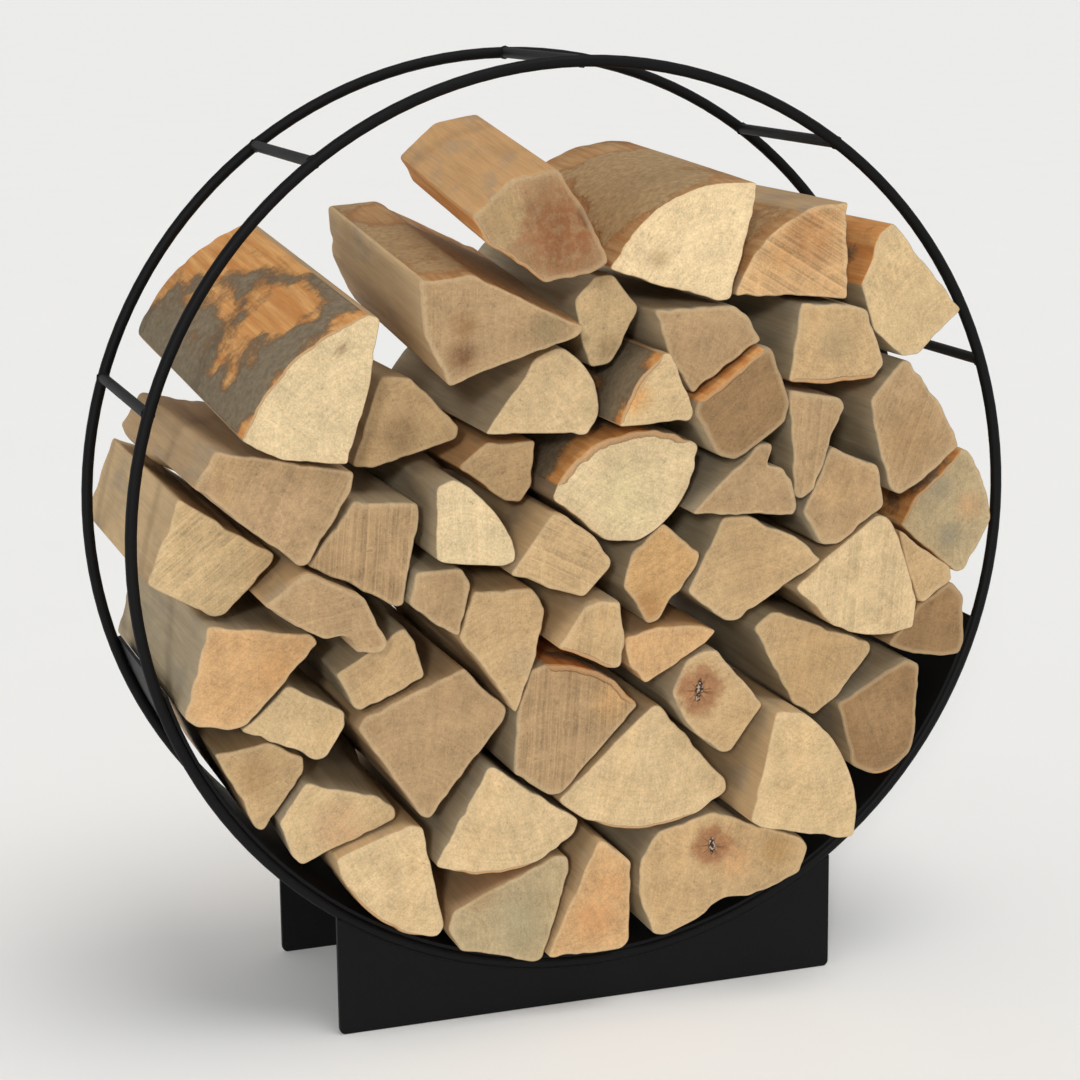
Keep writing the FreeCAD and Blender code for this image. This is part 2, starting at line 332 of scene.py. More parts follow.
    def cut_bark(self, face):
        """The sawn end with the bark's cut edge: a dark line, then an orange rim."""
        at = self.vary(self.attribute("bark_band"), self.blotch, 0.5)
        rim = self.step(at, 0.52, 0.62)
        line = self.math("MULTIPLY", self.step(at, 0.40, 0.50), self.step(at, 0.54, 0.62, 1.0, 0.0))
        cut = self.mix(self.grit, linear(*CUT_BARK_DARK), linear(*CUT_BARK_LIGHT))
        face = self.mix(self.math("MULTIPLY", rim, 0.8), face, cut)
        return self.mix(self.math("MULTIPLY", line, 0.65), face, linear(*BARK_LINE))

    def painted_arris_highlight(self, face):
        """The sawn end with a painted highlight: a pale line along the rim where it meets the sides."""
        arris = self.attribute("arris")
        # painted highlight: the rim rows are mixed towards a pale colour
        return self.mix(self.math("MULTIPLY", arris, 0.28), face, linear(*ARRIS_HIGHLIGHT))

    def split_side(self):
        """Torn fibres, grain along Y, greyed in places."""
        stain = self.noise(self.scaled(self.pith, (1.0, 0.4, 1.0)), 26.0, 3.0, 0.6)
        value = self.math("MULTIPLY_ADD", self.fibre, 0.40, 0.56)
        value = self.math("MULTIPLY_ADD", self.streak, 0.50, value)
        value = self.vary(value, self.grit, 0.18)
        side = self.shade(self.attribute("side_tone", "Color"), value)
        grey = self.step(stain, 0.50, 0.70, 0.0, 0.40)
        return self.mix(grey, side, self.shade(GREY_STAIN, value))

    def bark_flakes(self):
        """Above about a half where the outer bark's plates are still on."""
        lichen = self.noise(self.pith, 55.0, 3.0, 0.6)
        return self.vary(self.vary(self.attribute("bark_plate"), self.crust, 0.22), lichen, 0.14)

    def bark_skin(self):
        """Weathered plates over orange inner bark."""
        plate_tone = self.attribute("bark_outer", "Color")
        outer = self.shade(plate_tone, self.math("MULTIPLY_ADD", self.crust, 1.3, 0.34))
        fresh = self.attribute("bark_inner", "Color")
        streaked = self.mix(1.0, fresh, INNER_STREAK, "MULTIPLY")
        inner = self.mix(self.step(self.streak, 0.35, 0.68), streaked, fresh)
        inner = self.shade(inner, self.math("MULTIPLY_ADD", self.fibre, 0.5, 0.75))
        edge = self.math("MULTIPLY", self.step(self.flake, 0.40, 0.48),
                         self.step(self.flake, 0.50, 0.58, 1.0, 0.0))
        skin = self.mix(self.step(self.flake, 0.46, 0.52), inner, outer)
        brink = self.mix(1.0, plate_tone, FLAKE_BRINK, "MULTIPLY")
        return self.mix(self.math("MULTIPLY", edge, 0.5), skin, brink)

    def relief(self):
        """Height for the bump: saw marks and rings on the end, fibres or flakes on the sides."""
        end = self.math("MULTIPLY_ADD", self.sawn, -0.6, self.math("MULTIPLY", self.grit, 0.22))
        end = self.math("MULTIPLY_ADD", self.rings, 0.16, end)
        end = self.math("MULTIPLY_ADD", self.crack, -2.2, end)
        split = self.math("MULTIPLY_ADD", self.fibre, 0.45, self.math("MULTIPLY", self.streak, 0.9))
        lifted = self.step(self.flake, 0.44, 0.54)
        bark = self.math("MULTIPLY_ADD", lifted, 1.2, self.math("MULTIPLY", self.crust, 1.1))
        side = self.blend_height(self.is_bark, split, bark)
        return self.blend_height(self.is_end, side, end)

    def blend_height(self, factor, a, b):
        node = self.add("ShaderNodeMix", {"Factor": factor})
        self.feed(node.inputs[2], a)
        self.feed(node.inputs[3], b)
        return node.outputs[0]


def powder_coat():
    """Satin black powder coat: orange-peel skin, dust and small rubbed places."""
    n = Nodes("satin_black_powder_coat")
    where = n.add("ShaderNodeNewGeometry").outputs["Position"]
    peel = n.noise(where, 900.0, 2.0, 0.5)
    cloud = n.noise(where, 14.0, 3.0, 0.6)
    dust = n.step(n.noise(where, 260.0, 3.0, 0.7), 0.60, 0.75, 0.0, 0.30)
    colour = n.mix(cloud, linear(*COAT_DARK), linear(*COAT_LIGHT))
    colour = n.mix(dust, colour, linear(*COAT_DUST))
    n.feed(n.shader.inputs["Base Color"], colour)
    n.feed(n.shader.inputs["Roughness"], n.math("MULTIPLY_ADD", cloud, 0.14, 0.50))
    n.shader.inputs["Specular IOR Level"].default_value = COAT_GLOSS
    n.feed(n.shader.inputs["Normal"], n.bump(peel, COAT_RELIEF))
    return n.material


def floor_material():
    """Plain pale floor with the faintest cloud."""
    n = Nodes("pale_floor")
    where = n.add("ShaderNodeNewGeometry").outputs["Position"]
    colour = n.mix(n.noise(where, 3.0, 2.0), linear(*FLOOR_DARK), linear(*FLOOR_LIGHT))
    n.feed(n.shader.inputs["Base Color"], colour)
    n.shader.inputs["Roughness"].default_value = 0.8
    n.shader.inputs["Specular IOR Level"].default_value = FLOOR_GLOSS
    n.shader.inputs["Emission Color"].default_value = (1, 1, 1, 1)
    n.shader.inputs["Emission Strength"].default_value = FLOOR_GLOW
    return n.material


# ---- log looks -----------------------------------------------------------------------------

TONES = {
    "pale": (230, 204, 160),
    "ivory": (218, 194, 152),
    "cream": (210, 183, 140),
    "straw": (206, 178, 134),
    "tan": (194, 163, 120),
    "orange": (203, 163, 116),
    "amber": (196, 156, 106),
    "brown": (176, 146, 108),
    "dark": (150, 119, 83),
    "greyed": (178, 158, 122),
}
SIDES = {
    "grey": (172, 155, 126),
    "brown": (180, 150, 112),
    "tan": (198, 168, 126),
    "orange": (200, 156, 106),
    "dark": (144, 124, 98),
}
BARKS = {                     # outer plates, inner bark, share of the surface that has plates
    "patchy": ((126, 112, 90), (220, 166, 104), 0.58),
    "orange": ((140, 116, 88), (224, 168, 106), 0.28),
    "smooth": ((170, 140, 100), (188, 150, 104), 0.60),
    "brown": ((168, 138, 98), (190, 152, 106), 0.60),
}

# One entry per log: end tone, side tone, then what else it shows.
#   bark   (kind, middle, half width): the sides whose outward direction lies within half the
#          width of the middle; degrees from straight up towards the left are positive
#   band   width of the bark's cut edge on the sawn end, mm
#   saw    (direction of the marks in degrees from level, strength)
#   spots  (x, z, radius, colour): discoloured patches, mm from the middle of the end
#   knot   (x, z, radius), likewise
#   notch  (direction as for bark, width, depth): a groove split out along the log
#   swells (direction as for bark, width, height, middle and half of its run along Y), each
LOOKS = {
    1: ("brown", "orange", dict(bark=("orange", 125, 40), band=2.0,
        spots=[(20, -4, 62, (128, 70, 34)), (42, 8, 34, (92, 46, 22)), (-30, 8, 30, (170, 142, 100))])),
    2: ("pale", "tan", dict(bark=("smooth", 30, 48), spots=[(-22, -12, 12, (176, 148, 108))])),
    3: ("orange", "brown", dict(bark=("smooth", 42, 22), saw=(-32, 0.95),
        spots=[(16, 12, 34, (166, 116, 72)), (-8, -2, 20, (186, 140, 90))])),
    4: ("straw", "grey", dict(bark=("orange", 48, 44), spots=[(-20, 20, 30, (214, 184, 138))])),
    5: ("brown", "tan", dict(bark=("brown", -20, 30), saw=(88, 0.25),
        spots=[(-36, -20, 18, (104, 66, 38)), (-34, 4, 16, (140, 104, 66)), (38, -2, 20, (140, 122, 88))])),
    6: ("ivory", "brown", dict(bark=("patchy", 46, 50), band=1.5, spots=[(26, 34, 7, (150, 124, 92))])),
    7: ("tan", "tan", dict(spots=[(-4, -12, 24, (148, 120, 86))])),
    8: ("straw", "grey", dict(spots=[(2, -22, 16, (160, 134, 98))])),
    9: ("brown", "grey", dict(saw=(75, 0.2))),
    10: ("tan", "grey", dict(bark=("orange", -178, 32), band=3.0, spots=[(0, 2, 22, (170, 146, 108))])),
    11: ("cream", "grey", {}),
    12: ("straw", "brown", dict(bark=("patchy", 56, 34), band=3.0, saw=(4, 0.3),
         spots=[(-20, -6, 20, (206, 150, 88))])),
    13: ("dark", "grey", dict(bark=("orange", 36, 14), band=3.5, saw=(50, 0.2))),
    14: ("brown", "grey", dict(saw=(84, 0.4))),
    15: ("brown", "grey", dict(saw=(70, 0.4), spots=[(-8, -10, 40, (166, 134, 94))])),
    16: ("tan", "orange", dict(saw=(10, 0.2), swells=[(178, 44, 5.0, 90, 60)])),
    17: ("ivory", "dark", dict(bark=("patchy", 20, 50), band=5.0, spots=[(0, -8, 40, (214, 196, 150))])),
    18: ("brown", "grey", dict(notch=(-58, 26, 13), saw=(40, 0.15))),
    19: ("brown", "grey", dict(spots=[(-6, 6, 30, (184, 150, 108))])),
    20: ("greyed", "orange", dict(bark=("orange", 52, 16), band=2.0,
         spots=[(-6, 24, 18, (148, 136, 112)), (4, -22, 16, (142, 134, 112)), (24, 4, 18, (190, 150, 108))])),
    21: ("brown", "brown", dict(saw=(62, 0.3), spots=[(0, 0, 44, (186, 154, 116))],
         swells=[(77, 50, 6.0, 90, 90)])),
    22: ("tan", "grey", dict(knot=(-12, 24, 21), notch=(-176, 62, 9),
         spots=[(50, 12, 18, (184, 146, 92)), (10, 8, 24, (206, 160, 112))])),
    23: ("straw", "tan", dict(saw=(38, 0.6), swells=[(4, 44, 5.0, 150, 60)])),
    24: ("ivory", "grey", dict(swells=[(2, 40, 5.0, -15, 60)])),
    25: ("brown", "grey", dict(saw=(84, 0.85))),
    26: ("tan", "tan", dict(saw=(-28, 0.6))),
    27: ("amber", "grey", dict(saw=(30, 0.3), spots=[(-14, -30, 20, (168, 122, 76))])),
    28: ("tan", "grey", dict(spots=[(0, 6, 40, (186, 154, 112))])),
    29: ("cream", "tan", dict(saw=(86, 0.4))),
    30: ("tan", "tan", dict(saw=(60, 0.2))),
    31: ("dark", "brown", {}),
    32: ("brown", "grey", dict(saw=(80, 0.2))),
    33: ("brown", "tan", dict(saw=(10, 0.35), notch=(-156, 34, 9))),
    34: ("tan", "grey", dict(saw=(30, 0.15), swells=[(-38, 40, 4.5, -15, 60)])),
    35: ("tan", "tan", dict(spots=[(18, -6, 20, (186, 158, 122))], swells=[(164, 44, 2.2, 145, 50)])),
    36: ("tan", "tan", dict(saw=(80, 0.35), bark=("orange", 150, 26), band=2.5)),
    37: ("orange", "orange", dict(saw=(84, 0.25))),
    38: ("tan", "grey", dict(spots=[(0, 0, 44, (194, 160, 114))])),
    39: ("dark", "grey", dict(spots=[(0, 4, 34, (166, 134, 96))], bark=("orange", -170, 24), band=2.0)),
    40: ("orange", "grey", dict(spots=[(20, 0, 28, (204, 156, 104))])),
    41: ("straw", "grey", dict(saw=(60, 0.2))),
    42: ("brown", "brown", dict(spots=[(0, 0, 50, (176, 146, 108))],
         swells=[(-38, 56, 2.8, 135, 80), (165, 30, 1.5, 100, 50)])),
    43: ("brown", "grey", dict(saw=(86, 0.7), bark=("orange", -30, 34), band=4.5,
         spots=[(34, 20, 26, (196, 154, 104))])),
    44: ("tan", "grey", dict(knot=(-18, 12, 25), spots=[(20, -18, 26, (200, 168, 122))])),
    45: ("tan", "brown", dict(saw=(20, 0.25), spots=[(-6, 10, 26, (166, 132, 92))])),
    46: ("straw", "grey", dict(spots=[(0, -6, 30, (196, 158, 120))], swells=[(-82, 56, 5.4, 72, 70)])),
    47: ("cream", "grey", dict(bark=("orange", 178, 20), band=1.2)),
    48: ("cream", "tan", dict(bark=("brown", 178, 24), band=1.2)),
    49: ("straw", "tan", {}),
    50: ("cream", "tan", dict(bark=("brown", 140, 24), band=1.2, swells=[(-32, 40, 4.5, 135, 50)])),
    51: ("greyed", "brown", dict(spots=[(10, -10, 34, (162, 150, 118)), (-30, 24, 22, (158, 124, 84))])),
    52: ("orange", "tan", dict(spots=[(4, -20, 26, (202, 148, 98)), (18, 6, 20, (206, 156, 106))])),
}
PLAIN_SAW = 0.20             # strength of the saw marks where LOOKS gives none
SPOT_STRENGTH = 0.8
FAR_AWAY = 9.0               # knot coordinate of a log that has no knot
PITH_BEYOND = 62 * MM        # growth centre, this far from the middle of the end, away from the bark


# ---- log shapes ----------------------------------------------------------------------------

RING_STEP = 2.6 * MM         # spacing of points round a log
CAP_STEP = 4.2 * MM          # spacing of points on an end, from the rim inwards
SHORT_RUN = 5.5 * MM         # spacing along a log near its ends
LONG_RUN = 9.0 * MM          # and in the middle
CHAMFER = 0.9 * MM
SHARP = 34                   # degrees between faces from which an edge is shaded sharp
PROUD = 0.5                  # mm that a side may stand out of the CAD surface, apart from swells
DEEPEST = 0.45               # share of the way to the middle that a side may be pushed in


def lattice(cell, seed):
    """Repeatable value from 0 to 1 at whole-number points."""
    h = cell[..., 0] * 374761393 + cell[..., 1] * 668265263
    h = h + cell[..., 2] * 2147483629 + seed * 974634777
    h = (h ^ (h >> 13)) & 0xFFFFFFFF
    h = (h * 1274126177) & 0xFFFFFFFF
    return ((h ^ (h >> 16)) & 0xFFFF) / 65535.0


def noise(points, cell_mm, seed):
    """Smooth value noise, 0 to 1; cell_mm is the size of its cells along X, Y and Z."""
    p = points / (np.array(cell_mm) * MM)
    cell = np.floor(p).astype(np.int64)
    f = p - cell
    f = f * f * (3 - 2 * f)
    total = np.zeros(p.shape[:-1])
    for corner in range(8):
        offset = np.array([corner & 1, corner >> 1 & 1, corner >> 2 & 1])
        weight = np.prod(np.where(offset == 1, f, 1 - f), axis=-1)
        total += weight * lattice(cell + offset, seed)
    return total


def smooth_step(value, low, high):
    t = np.clip((value - low) / (high - low), 0, 1)
    return t * t * (3 - 2 * t)


def hull(points):
    """Convex outline of flat points, clockwise."""
    ordered = sorted(set(map(tuple, np.round(points, 6))))

    def chain(sequence):
        out = []
        for p in sequence:
            while len(out) > 1 and cross(out[-2], out[-1], p) >= 0:
                out.pop()
            out.append(p)
        return out[:-1]

    return np.array(chain(ordered) + chain(reversed(ordered)))


def cross(a, b, c):
    return (b[0] - a[0]) * (c[1] - a[1]) - (b[1] - a[1]) * (c[0] - a[0])


def cad_log(node):
    """Front outline of a CAD log in X and Z, how far its rear is set over, and its two ends' Y."""
    co = np.array([v.co for v in frame["nodes"][node].data.vertices], float)
    front = co[:, 1].min()
    rear = co[:, 1].max()
    near = co[co[:, 1] < front + MM / 10][:, [0, 2]]
    far = co[co[:, 1] > rear - MM / 10][:, [0, 2]]
    lean = (far.min(0) + far.max(0) - near.min(0) - near.max(0)) / 2
    return hull(near), lean, front, rear


def ring(corners):
    """Even points round the outline with its corners eased, and each point's distance to a corner."""
    closed = np.vstack([corners, corners[:1]])
    edge = np.hypot(*np.diff(closed, axis=0).T)
    at = np.concatenate([[0], np.cumsum(edge)])
    count = int(at[-1] / RING_STEP)
    s = np.linspace(0, at[-1], count, endpoint=False)
    flat = np.stack([np.interp(s, at, closed[:, k]) for k in (0, 1)], axis=1)
    flat = (np.roll(flat, 1, 0) + 1.4 * flat + np.roll(flat, -1, 0)) / 3.4
    before = corners - np.roll(corners, 1, 0)
    after = np.roll(corners, -1, 0) - corners
    turn = np.abs(np.degrees(np.arctan2(before[:, 0] * after[:, 1] - before[:, 1] * after[:, 0],
                                        (before * after).sum(1))))
    sharp = at[:-1][turn > 18]
    gap = np.abs(s[:, None] - sharp[None, :])
    gap = np.minimum(gap, at[-1] - gap).min(1)
    return flat, gap


def along(length):
    """Stations along a log, close together at its ends."""
    lead = [0, CHAMFER, 2.6 * MM]
    near = list(np.arange(lead[-1] + SHORT_RUN, 0.10, SHORT_RUN))
    middle = list(np.arange(0.10 + LONG_RUN, length - 12 * MM, LONG_RUN))
    return np.array(lead + near + middle + [length - 5 * MM, length - CHAMFER, length])


def outward(flat):
    tangent = np.roll(flat, -1, 0) - np.roll(flat, 1, 0)
    normal = np.stack([-tangent[:, 1], tangent[:, 0]], axis=1)
    return normal / np.hypot(*normal.T)[:, None]


def bark_share(normal, bark):
    """1 on the sides that carry bark, easing to 0 beside them."""
    if bark is None:
        return np.zeros(len(normal))
    _, middle, half = bark
    angle = np.degrees(np.arctan2(-normal[:, 0], normal[:, 1]))
    away = np.abs((angle - middle + 180) % 360 - 180)
    return 1 - smooth_step(away, half - 6, half + 6)


def side_depth(place, gap, share, plates, seed):
    """How far the real surface lies inside the CAD surface, in metres."""
    wave = 1.7 * noise(place, (36, 170, 36), seed)
    ridge = 0.5 * noise(place, (8, 110, 8), seed + 1)
    fine = 0.35 * noise(place, (3.4, 46, 3.4), seed + 2)
    torn = 1.1 * smooth_step(noise(place, (15, 190, 15), seed + 3), 0.55, 0.63)
    split = np.maximum(wave + ridge + fine + torn - 1.2, -PROUD)
    lump = 1.0 * noise(place, (16, 20, 16), seed + 4) + 0.6 * noise(place, (5, 6, 5), seed + 5)
    bark = lump + 1.2 * (1 - plates) - PROUD
    ease = 0.12 + 0.88 * smooth_step(gap, 0, 16 * MM)
    return MM * (split * (1 - share) + bark * share) * ease


def chips(place, from_end, seed):
    """Splinters broken off where a side meets a sawn end."""
    broken = smooth_step(noise(place, (9, 400, 9), seed + 6), 0.62, 0.86)
    return MM * 1.3 * broken * np.clip(1 - from_end / (7 * MM), 0, 1)


def near_direction(flat, centre, way, width):
    """1 where the outline lies in a direction from the middle, easing to 0 half a width away."""
    angle = np.degrees(np.arctan2(centre[0] - flat[:, 0], flat[:, 1] - centre[1]))
    nearest = int(np.argmin(np.abs((angle - way + 180) % 360 - 180)))
    steps = np.abs(np.arange(len(flat)) - nearest)
    away = np.minimum(steps, len(flat) - steps) * RING_STEP
    return 1 - smooth_step(away, 0, width * MM / 2)


def notch_depth(flat, centre, notch):
    """A groove split out along the log: its direction from the middle, width and depth."""
    if notch is None:
        return np.zeros(len(flat))
    way, width, depth = notch
    return depth * MM * near_direction(flat, centre, way, width)


def swell_height(flat, centre, y, swells):
    """Swellings round buried knots, in the free space between this log and its neighbours."""
    height = np.zeros((len(y), len(flat)))
    for way, width, rise, at, half in swells:
        lengthways = 1 - smooth_step(np.abs(y - at * MM), half * MM * 0.4, half * MM)
        round_it = np.sqrt(near_direction(flat, centre, way, width))
        height = np.maximum(height, rise * MM * lengthways[:, None] * round_it[None, :])
    return height


def end_tilt(seed):
    """Slope of a sawn end across X and Z: no saw cut is quite square."""
    cell = np.array([[seed, 3, 7], [seed, 5, 11]])
    return (lattice(cell, 17) - 0.5) * 0.055


def grid_faces(rows, count):
    """Quads between rings of points, each ring closed on itself."""
    j, i = np.meshgrid(np.arange(rows - 1), np.arange(count), indexing="ij")
    a = j * count + i
    b = j * count + (i + 1) % count
    return np.stack([a, b, b + count, a + count], axis=-1).reshape(-1, 4)


def eased(rings):
    """Each ring of points with its smallest kinks evened out."""
    return (np.roll(rings, 1, -2) + 2 * rings + np.roll(rings, -1, -2)) / 4


def cap_rings(rim, centre):
    """Rings of points from the rim of an end towards its middle, ever rounder."""
    reach = np.hypot(*(rim - centre).T).mean()
    steps = max(4, int(reach / CAP_STEP))
    shares = 1 - np.arange(1, steps) / steps
    rings = [centre + (rim - centre) * (1 - 1.2 * MM / reach)]
    shape = rim - centre
    for share in shares:
        for _ in range(4):
            shape = eased(shape)
        rings.append(centre + shape * share)
    return rings


def ring_places(flat, stations):
    """Where each side point lies before it is displaced: X, distance from the front end, Z."""
    place = np.zeros((len(stations), len(flat), 3))
    place[..., 0] = flat[None, :, 0]
    place[..., 1] = stations[:, None]
    place[..., 2] = flat[None, :, 1]
    return place


def plate_patches(place, stations, cover, seed):
    """Above a half where the outer bark's plates are still on; the front end has lost more of them."""
    patch = 0.78 * noise(place, (64, 90, 64), seed + 7) + 0.22 * noise(place, (15, 20, 15), seed + 8)
    patch = patch + (cover - 0.5) * 0.5
    return patch - 0.26 * np.clip(1 - stations[:, None] / (34 * MM), 0, 1)


def close_ends(sides, t):
    """Side rings with the rings of both ends added: all rings, their place along, rings per end."""
    front_cap = cap_rings(sides[0], sides[0].mean(0))
    rear_cap = cap_rings(sides[-1], sides[-1].mean(0))
    rings = np.array(front_cap[::-1] + list(sides) + rear_cap)
    level = np.array([0.0] * len(front_cap) + list(t) + [1.0] * len(rear_cap))
    return rings, level, len(front_cap), len(rear_cap)


def slanted(rel, level, front, length, number):
    """Y of every point, with both ends sawn a little out of square and inside the CAD log's length."""
    front_rise = rel @ end_tilt(number)
    rear_rise = rel @ end_tilt(number + 100)
    front_rise = front_rise - front_rise.min()
    rear_rise = rear_rise - rear_rise.max()
    level = level[:, None]
    return front + length * level + front_rise * (1 - level) + rear_rise * level


def ring_mesh(name, points):
    """Closed mesh over rings of points, with one more point in the middle of each end."""
    rows, count, _ = points.shape
    front_hub = rows * count
    rear_hub = front_hub + 1
    i = np.arange(count)
    last = (rows - 1) * count
    nose = np.stack([(i + 1) % count, i, np.full(count, front_hub)], axis=1)
    tail = np.stack([last + i, last + (i + 1) % count, np.full(count, rear_hub)], axis=1)
    vertices = np.vstack([points.reshape(-1, 3), points[0].mean(0), points[-1].mean(0)])
    faces = grid_faces(rows, count).tolist() + nose.tolist() + tail.tolist()
    mesh = bpy.data.meshes.new(name)
    mesh.from_pydata(vertices.tolist(), [], faces)
    mesh.polygons.foreach_set("use_smooth", [True] * len(mesh.polygons))
    mesh.set_sharp_from_angle(angle=math.radians(SHARP))
    obj = bpy.data.objects.new(name, mesh)
    bpy.context.scene.collection.objects.link(obj)
    return obj


def place_marks(rings, front_cap, rear_cap, share, patch, band_width):
    """Where the mesh is end, bark, cut bark and arris: a value for each point and for both hubs."""
    rows, count, _ = rings.shape
    end = np.zeros((rows, count))
    end[:front_cap + 1] = 1
    end[rows - rear_cap - 1:] = 1
    plates = np.ones((rows, count))
    plates[front_cap:rows - rear_cap] = patch
    band = np.zeros((rows, count))
    if band_width:
        for row in list(range(front_cap + 1)) + list(range(rows - rear_cap - 1, rows)):
            rim = rings[front_cap] if row <= front_cap else rings[rows - rear_cap - 1]
            inward = np.hypot(*(rim - rings[row]).T)
            band[row] = np.clip(1 - inward / (2 * band_width), 0, 1) * share
    # arris: the two rim rows of the front end, where the painted highlight goes
    arris = np.zeros((rows, count))
    arris[front_cap - 1:front_cap + 1] = 1
    bark = np.broadcast_to(share, (rows, count))
    values = {"end": (end, 1), "bark": (bark, 0), "bark_band": (band, 0),
              "bark_plate": (plates, 1), "arris": (arris, 0)}
    return {name: np.append(value.reshape(-1), [hub, hub]) for name, (value, hub) in values.items()}


def pith_coordinates(rel, number, bark):
    """Place counted from the growth centre, which lies opposite the bark, or anywhere without it."""
    if bark is None:
        way = lattice(np.array([number, 1, 2]), 5) * 2 * math.pi
    else:
        way = math.radians(bark[1])
    return rel - np.array([math.sin(way), 0, -math.cos(way)]) * PITH_BEYOND


def saw_coordinates(rel, number, saw):
    """Distance across the saw marks in mm, and their strength."""
    plain_angle = 180 * float(lattice(np.array([number, 7, 5]), 9))
    angle, strength = saw or (plain_angle, PLAIN_SAW)
    a = math.radians(angle)
    out = np.zeros((len(rel), 3))
    out[:, 0] = (rel[:, 2] * math.cos(a) - rel[:, 0] * math.sin(a)) / MM
    out[:, 1] = strength
    return out


def knot_coordinates(rel, knot):
    """Place across and up from the knot in knot radii, and whether there is a knot."""
    out = np.full((len(rel), 3), FAR_AWAY)
    out[:, 2] = 0
    if knot is not None:
        x, z, radius = (v * MM for v in knot)
        out[:, 0] = (rel[:, 0] - x) / radius
        out[:, 1] = (rel[:, 2] - z) / radius
        out[:, 2] = 1
    return out


def spot_colours(rel, spots):
    """Colour of the discoloured patches, and in the fourth value how strong it is."""
    out = np.zeros((len(rel), 4))
    for x, z, radius, colour in spots:
        away = np.hypot(rel[:, 0] - x * MM, rel[:, 2] - z * MM) / (radius * MM)
        strength = SPOT_STRENGTH * (1 - smooth_step(away, 0.2, 1.1))
        stronger = strength > out[:, 3]
        out[stronger, :3] = linear(*colour)[:3]
        out[:, 3] = np.maximum(out[:, 3], strength)
    return out


def store(mesh, kind, field, layers):
    """Point attributes, one for each named array."""
    for name, values in layers.items():
        layer = mesh.attributes.new(name, kind, "POINT")
        layer.data.foreach_set(field, values.astype(np.float32).ravel())


def split_log(number):
    """One log's mesh, kept to its CAD log's shape, with the attributes that its material reads."""
    node = "log_%02d" % number
    tone, side_tone, more = LOOKS[number]
    bark = more.get("bark")
    outer, inner, cover = BARKS[bark[0] if bark else "brown"]
    seed = number * 31
    corners, lean, front, rear = cad_log(node)
    length = rear - front
    flat, gap = ring(corners)
    normal = outward(flat)
    centre = (corners.min(0) + corners.max(0)) / 2
    share = bark_share(normal, bark)
    stations = along(length)
    t = stations / length

    place = ring_places(flat, stations)
    patch = plate_patches(place, stations, cover, seed)
    from_end = np.minimum(stations, length - stations)[:, None]
    depth = side_depth(place, gap, share, smooth_step(patch, 0.47, 0.53), seed)
    depth = depth + chips(place, from_end, seed) + notch_depth(flat, centre, more.get("notch"))
    depth = depth + np.clip(CHAMFER - from_end, 0, CHAMFER)
    depth = depth - swell_height(flat, centre, front + stations, more.get("swells", []))
    deepest = np.hypot(*(flat - centre).T) * DEEPEST
    depth = np.minimum(depth, deepest[None, :])
    sides = eased(flat[None] + lean * t[:, None, None] - normal[None] * depth[..., None])
    rings, level, front_cap, rear_cap = close_ends(sides, t)
    rel = rings - centre - lean * level[:, None, None]
    y = slanted(rel, level, front, length, number)
    obj = ring_mesh("split_" + node, np.stack([rings[..., 0], y, rings[..., 1]], axis=-1))

    rel = np.stack([rel[..., 0], y - front, rel[..., 1]], axis=-1).reshape(-1, 3)
    rel = np.vstack([rel, [(0, 0, 0), (0, length, 0)]])
    whole = np.ones((len(rel), 4))
    band_width = more.get("band", 0) * MM
    store(obj.data, "FLOAT", "value",
          place_marks(rings, front_cap, rear_cap, share, patch, band_width))
    store(obj.data, "FLOAT_VECTOR", "vector", {
        "pith": pith_coordinates(rel, number, bark),
        "saw": saw_coordinates(rel, number, more.get("saw")),
        "knot": knot_coordinates(rel, more.get("knot")),
    })
    store(obj.data, "FLOAT_COLOR", "color", {
        "tone": whole * linear(*TONES[tone]),
        "side_tone": whole * linear(*SIDES[side_tone]),
        "bark_outer": whole * linear(*outer),
        "bark_inner": whole * linear(*inner),
        "spot": spot_colours(rel, more.get("spots", [])),
    })
    return obj


# ---- rack details --------------------------------------------------------------------------

def bead(name, path, radius, closed):
    """Weld bead: a thin rippled ridge along a path of points."""
    path = np.array(path)
    count = len(path)
    sides = 8
    ahead = np.roll(path, -1, 0) - np.roll(path, 1, 0)
    if not closed:
        ahead[0] = path[1] - path[0]
        ahead[-1] = path[-1] - path[-2]
    vertices = []
    for k in range(count):
        way = Vector(ahead[k]).normalized()
        one = way.orthogonal().normalized()
        if abs(way.y) < 0.99:
            one = way.cross(Vector((0, 1, 0))).normalized()
        two = way.cross(one)
        ripple = 1 + 0.16 * math.sin(k * 1.9) + 0.08 * math.sin(k * 0.7)
        taper = 1.0 if closed else min(1.0, 0.3 + min(k, count - 1 - k) * 0.25)
        for s in range(sides):
            turn = 2 * math.pi * s / sides
            ring_way = one * math.cos(turn) + two * math.sin(turn)
            vertices.append(Vector(path[k]) + ring_way * radius * ripple * taper)
    rows = count + 1 if closed else count
    faces = [[(k % count) * sides + s, (k % count) * sides + (s + 1) % sides,
              ((k + 1) % count) * sides + (s + 1) % sides, ((k + 1) % count) * sides + s]
             for k in range(rows - 1) for s in range(sides)]
    if not closed:
        faces.append(list(range(sides))[::-1])
        faces.append(list(range((count - 1) * sides, count * sides)))
    mesh = bpy.data.meshes.new(name)
    mesh.from_pydata(vertices, [], faces)
    mesh.polygons.foreach_set("use_smooth", [True] * len(mesh.polygons))
    obj = bpy.data.objects.new(name, mesh)
    bpy.context.scene.collection.objects.link(obj)
    return obj


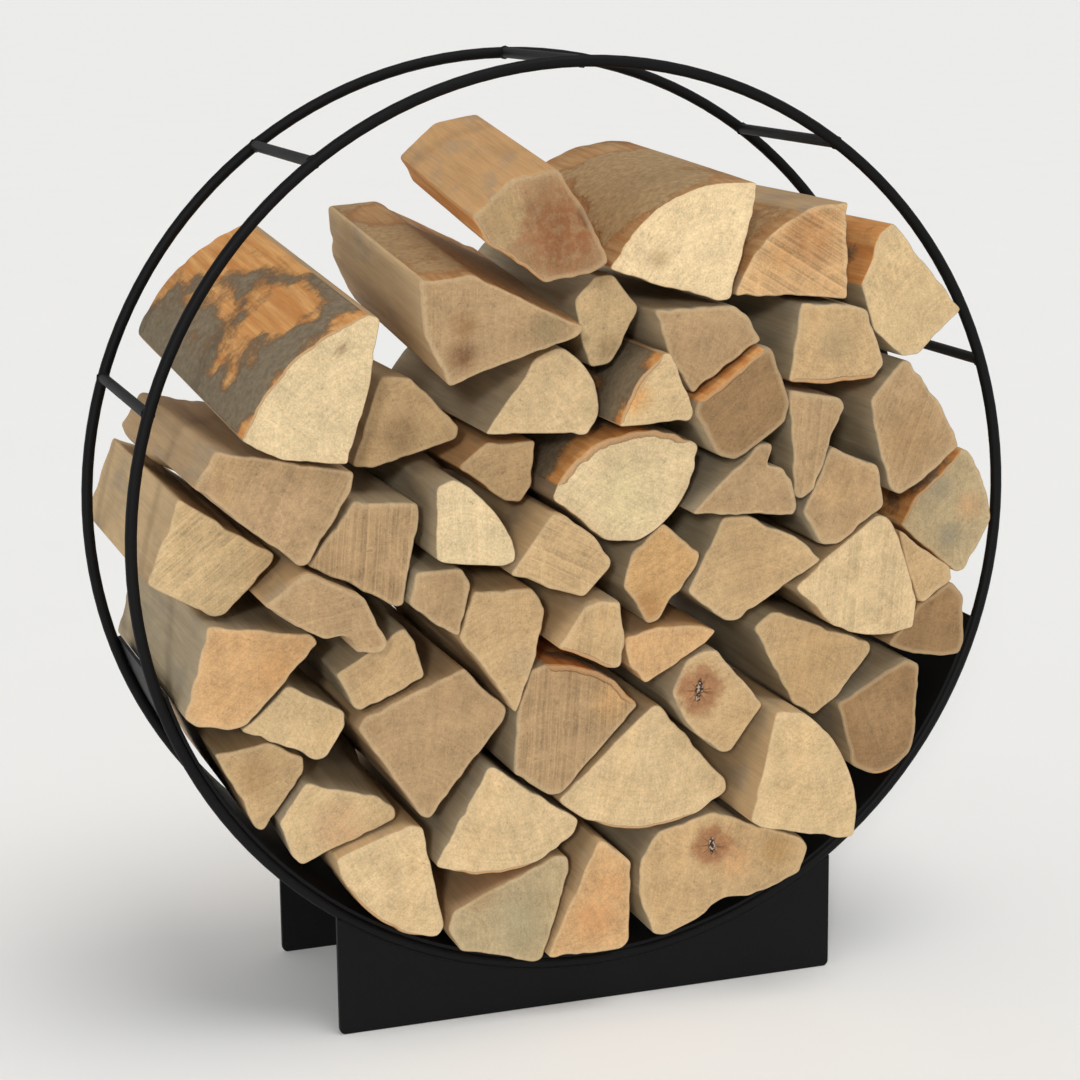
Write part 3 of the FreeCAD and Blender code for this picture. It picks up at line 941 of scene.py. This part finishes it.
def rack_sizes():
    """Sizes of the rack, worked out from its CAD nodes."""
    low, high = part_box("front_hoop")
    rung_low, rung_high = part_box("top_rung")
    foot_low, foot_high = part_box("front_foot")
    bar = (high.y - low.y) / 2
    return {
        "bar": bar,
        "hoop_y": abs(low.y + high.y) / 2,
        "middle_z": (low.z + high.z) / 2,
        "ring": (high.x - low.x) / 2 - bar,
        "rung": (rung_high.x - rung_low.x) / 2,
        "foot_half": (foot_high.x - foot_low.x) / 2,
        "foot_thick": foot_high.y - foot_low.y,
    }


RUNG_STEP = math.radians(36)
BEAD = 1.25 * MM


def rung_welds(size):
    """A bead round each end of every cross bar, lying on the hoop's round bar."""
    made = []
    for turn in range(-2, 3):
        angle = turn * RUNG_STEP
        out = Vector((math.sin(angle), 0, math.cos(angle)))
        side = Vector((math.cos(angle), 0, -math.sin(angle)))
        middle = Vector((0, 0, size["middle_z"])) + out * size["ring"]
        for sign, place in ((-1, "front"), (1, "rear")):
            path = []
            for k in range(36):
                a = 2 * math.pi * k / 36
                rise = size["rung"] * math.cos(a)
                reach = math.sqrt(max(size["bar"] ** 2 - rise ** 2, 0))
                y = sign * (size["hoop_y"] - reach)
                point = middle + out * rise + side * size["rung"] * math.sin(a)
                path.append((point.x, y, point.z))
            made.append(bead("weld_%s_rung_%d" % (place, turn + 3), path, BEAD, True))
    return made


def foot_welds(size):
    """Two beads along each foot's upper edge, where the hoop stands on the plate."""
    made = []
    radius = size["ring"] + size["bar"]
    half = math.asin(size["foot_half"] / radius) * 0.985
    for sign, place in ((-1, "front"), (1, "rear")):
        for face, label in ((-1, "outer"), (1, "inner")):
            y = sign * size["hoop_y"] + face * sign * size["foot_thick"] / 2
            lift = size["bar"] - math.sqrt(size["bar"] ** 2 - (size["foot_thick"] / 2) ** 2)
            path = []
            for a in np.linspace(-half, half, 170):
                r = radius - lift * 0.5
                path.append((r * math.sin(a), y, size["middle_z"] - r * math.cos(a)))
            made.append(bead("weld_%s_foot_%s" % (place, label), path, BEAD, False))
    return made


# ---- build ---------------------------------------------------------------------------------

camera()
light()

slots = {part["node"]: part["material_slot"] for part in frame["record"]["subparts"]}
wood = {slot: Wood(slot).material for slot in ("wood_pale", "wood_tan", "wood_brown")}
coat = powder_coat()

for node, cad in frame["nodes"].items():
    if not node.startswith("log_"):
        cad.data.materials.clear()
        cad.data.materials.append(coat)
        continue
    piece = split_log(int(node[4:]))
    piece.data.materials.append(wood[slots[node]])
    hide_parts(node)
    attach(piece, node)

sizes = rack_sizes()
for piece in rung_welds(sizes) + foot_welds(sizes):
    piece.data.materials.append(coat)
    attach(piece, "rack")

FLOOR_HALF = 90.0
floor_mesh = bpy.data.meshes.new("floor")
floor_mesh.from_pydata([(-FLOOR_HALF, -FLOOR_HALF, 0), (FLOOR_HALF, -FLOOR_HALF, 0),
                        (FLOOR_HALF, FLOOR_HALF, 0), (-FLOOR_HALF, FLOOR_HALF, 0)], [], [(0, 1, 2, 3)])
floor = bpy.data.objects.new("floor", floor_mesh)
floor.location.z = -0.0005
floor_mesh.materials.append(floor_material())
bpy.context.scene.collection.objects.link(floor)
